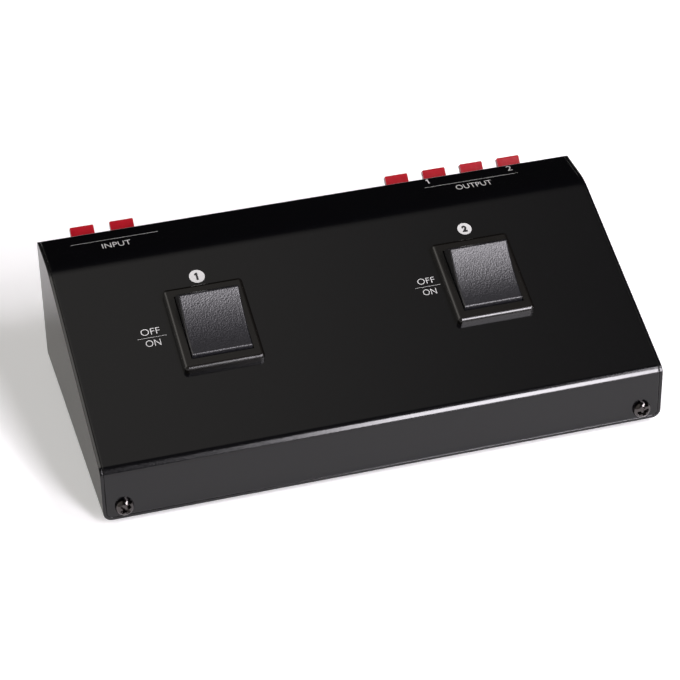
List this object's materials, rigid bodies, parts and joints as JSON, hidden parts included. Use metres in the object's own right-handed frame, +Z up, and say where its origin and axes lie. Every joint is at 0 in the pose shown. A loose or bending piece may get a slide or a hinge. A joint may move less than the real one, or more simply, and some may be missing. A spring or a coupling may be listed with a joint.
{
  "type": "speaker selector switch",
  "caption": "Wedge-shaped folded steel desk box with rocker switches on the slope and rear spring terminals that route an amplifier to speaker pairs.",
  "frame": {"origin": "centre of the whole part's footprint, at the underside of the feet", "axes": "+X to the right seen from the front, +Y from the low front face to the terminals, +Z up"},
  "size_m": [0.18, 0.1014, 0.048],
  "materials": {
    "painted_base": "satin black paint",
    "painted_cover": "satin black paint",
    "screw_steel": "black nickel plate",
    "zinc_steel": "bright zinc plate",
    "rubber": "matte",
    "switch_plastic": "moulded, semi-gloss",
    "rocker_plastic": "moulded, fine spark texture",
    "block_plastic": "moulded, satin",
    "insulating_board": "laminate",
    "red_plastic": "moulded, semi-gloss",
    "black_plastic": "moulded, semi-gloss",
    "contact_brass": "rolled strip",
    "natural_nylon": "moulded",
    "red_insulation": "extruded PVC over copper",
    "black_insulation": "extruded PVC over copper"
  },
  "bodies": {
    "case": {"base_tray": "painted_base", "top_cover": "painted_cover", "front_screws": "screw_steel", "rear_screws": "screw_steel", "rubber_feet": "rubber", "block_screws": "screw_steel", "block_nuts": "zinc_steel", "switch_housing_1": "switch_plastic", "common_terminals_1": "contact_brass", "throw_terminals_1": "contact_brass", "switch_housing_2": "switch_plastic", "common_terminals_2": "contact_brass", "throw_terminals_2": "contact_brass", "input_block": "block_plastic", "input_back_plate": "insulating_board", "input_contacts": "contact_brass", "output_block": "block_plastic", "output_back_plate": "insulating_board", "output_contacts": "contact_brass", "red_wire_1": "red_insulation", "red_wire_2": "red_insulation", "red_wire_3": "red_insulation", "red_wire_4": "red_insulation", "red_wire_5": "red_insulation", "red_wire_6": "red_insulation", "red_wire_7": "red_insulation", "red_wire_8": "red_insulation", "black_wire_1": "black_insulation", "black_wire_2": "black_insulation", "black_wire_3": "black_insulation", "black_wire_4": "black_insulation"},
    "rocker_body_1": {"rocker_1": "rocker_plastic", "plungers_1": "natural_nylon", "plunger_springs_1": "zinc_steel"},
    "blade_body_1": {"contact_blades_1": "contact_brass"},
    "rocker_body_2": {"rocker_2": "rocker_plastic", "plungers_2": "natural_nylon", "plunger_springs_2": "zinc_steel"},
    "blade_body_2": {"contact_blades_2": "contact_brass"},
    "input_red_lever_1_body": {"input_red_lever_1": "red_plastic"},
    "input_black_lever_1_body": {"input_black_lever_1": "black_plastic"},
    "input_red_lever_2_body": {"input_red_lever_2": "red_plastic"},
    "input_black_lever_2_body": {"input_black_lever_2": "black_plastic"},
    "output_red_lever_1_body": {"output_red_lever_1": "red_plastic"},
    "output_black_lever_1_body": {"output_black_lever_1": "black_plastic"},
    "output_red_lever_2_body": {"output_red_lever_2": "red_plastic"},
    "output_black_lever_2_body": {"output_black_lever_2": "black_plastic"},
    "output_red_lever_3_body": {"output_red_lever_3": "red_plastic"},
    "output_black_lever_3_body": {"output_black_lever_3": "black_plastic"},
    "output_red_lever_4_body": {"output_red_lever_4": "red_plastic"},
    "output_black_lever_4_body": {"output_black_lever_4": "black_plastic"}
  },
  "joints": [
    {"name": "rocker_tilt_1", "type": "hinge", "parent": "case", "child": "rocker_body_1", "pos_m": [-0.0441, -0.0065, 0.03627], "axis": [-1, 0, 0], "range_deg": [0, 32]},
    {"name": "blade_tilt_1", "type": "hinge", "parent": "case", "child": "blade_body_1", "pos_m": [-0.0441, -0.0025, 0.02576], "axis": [1, 0, 0], "range_deg": [0, 14]},
    {"name": "rocker_tilt_2", "type": "hinge", "parent": "case", "child": "rocker_body_2", "pos_m": [0.0441, -0.0065, 0.03627], "axis": [-1, 0, 0], "range_deg": [0, 32]},
    {"name": "blade_tilt_2", "type": "hinge", "parent": "case", "child": "blade_body_2", "pos_m": [0.0441, -0.0025, 0.02576], "axis": [1, 0, 0], "range_deg": [0, 14]},
    {"name": "input_red_lever_1_press", "type": "hinge", "parent": "case", "child": "input_red_lever_1_body", "pos_m": [-0.07405, 0.03185, 0.04], "axis": [-1, 0, 0], "range_deg": [0, 10], "stiffness_Nm_per_rad": 0.15, "springref_deg": -8.59},
    {"name": "input_black_lever_1_press", "type": "hinge", "parent": "case", "child": "input_black_lever_1_body", "pos_m": [-0.07405, 0.03185, 0.0204], "axis": [1, 0, 0], "range_deg": [0, 10], "stiffness_Nm_per_rad": 0.15, "springref_deg": -8.59},
    {"name": "input_red_lever_2_press", "type": "hinge", "parent": "case", "child": "input_red_lever_2_body", "pos_m": [-0.06095, 0.03185, 0.04], "axis": [-1, 0, 0], "range_deg": [0, 10], "stiffness_Nm_per_rad": 0.15, "springref_deg": -8.59},
    {"name": "input_black_lever_2_press", "type": "hinge", "parent": "case", "child": "input_black_lever_2_body", "pos_m": [-0.06095, 0.03185, 0.0204], "axis": [1, 0, 0], "range_deg": [0, 10], "stiffness_Nm_per_rad": 0.15, "springref_deg": -8.59},
    {"name": "output_red_lever_1_press", "type": "hinge", "parent": "case", "child": "output_red_lever_1_body", "pos_m": [0.03265, 0.03185, 0.04], "axis": [-1, 0, 0], "range_deg": [0, 10], "stiffness_Nm_per_rad": 0.15, "springref_deg": -8.59},
    {"name": "output_black_lever_1_press", "type": "hinge", "parent": "case", "child": "output_black_lever_1_body", "pos_m": [0.03265, 0.03185, 0.0204], "axis": [1, 0, 0], "range_deg": [0, 10], "stiffness_Nm_per_rad": 0.15, "springref_deg": -8.59},
    {"name": "output_red_lever_2_press", "type": "hinge", "parent": "case", "child": "output_red_lever_2_body", "pos_m": [0.04575, 0.03185, 0.04], "axis": [-1, 0, 0], "range_deg": [0, 10], "stiffness_Nm_per_rad": 0.15, "springref_deg": -8.59},
    {"name": "output_black_lever_2_press", "type": "hinge", "parent": "case", "child": "output_black_lever_2_body", "pos_m": [0.04575, 0.03185, 0.0204], "axis": [1, 0, 0], "range_deg": [0, 10], "stiffness_Nm_per_rad": 0.15, "springref_deg": -8.59},
    {"name": "output_red_lever_3_press", "type": "hinge", "parent": "case", "child": "output_red_lever_3_body", "pos_m": [0.05885, 0.03185, 0.04], "axis": [-1, 0, 0], "range_deg": [0, 10], "stiffness_Nm_per_rad": 0.15, "springref_deg": -8.59},
    {"name": "output_black_lever_3_press", "type": "hinge", "parent": "case", "child": "output_black_lever_3_body", "pos_m": [0.05885, 0.03185, 0.0204], "axis": [1, 0, 0], "range_deg": [0, 10], "stiffness_Nm_per_rad": 0.15, "springref_deg": -8.59},
    {"name": "output_red_lever_4_press", "type": "hinge", "parent": "case", "child": "output_red_lever_4_body", "pos_m": [0.07195, 0.03185, 0.04], "axis": [-1, 0, 0], "range_deg": [0, 10], "stiffness_Nm_per_rad": 0.15, "springref_deg": -8.59},
    {"name": "output_black_lever_4_press", "type": "hinge", "parent": "case", "child": "output_black_lever_4_body", "pos_m": [0.07195, 0.03185, 0.0204], "axis": [1, 0, 0], "range_deg": [0, 10], "stiffness_Nm_per_rad": 0.15, "springref_deg": -8.59}
  ],
  "couplings": [
    {"joint": "blade_tilt_1", "follows": "rocker_tilt_1", "ratio": 0.4375},
    {"joint": "blade_tilt_2", "follows": "rocker_tilt_2", "ratio": 0.4375}
  ]
}
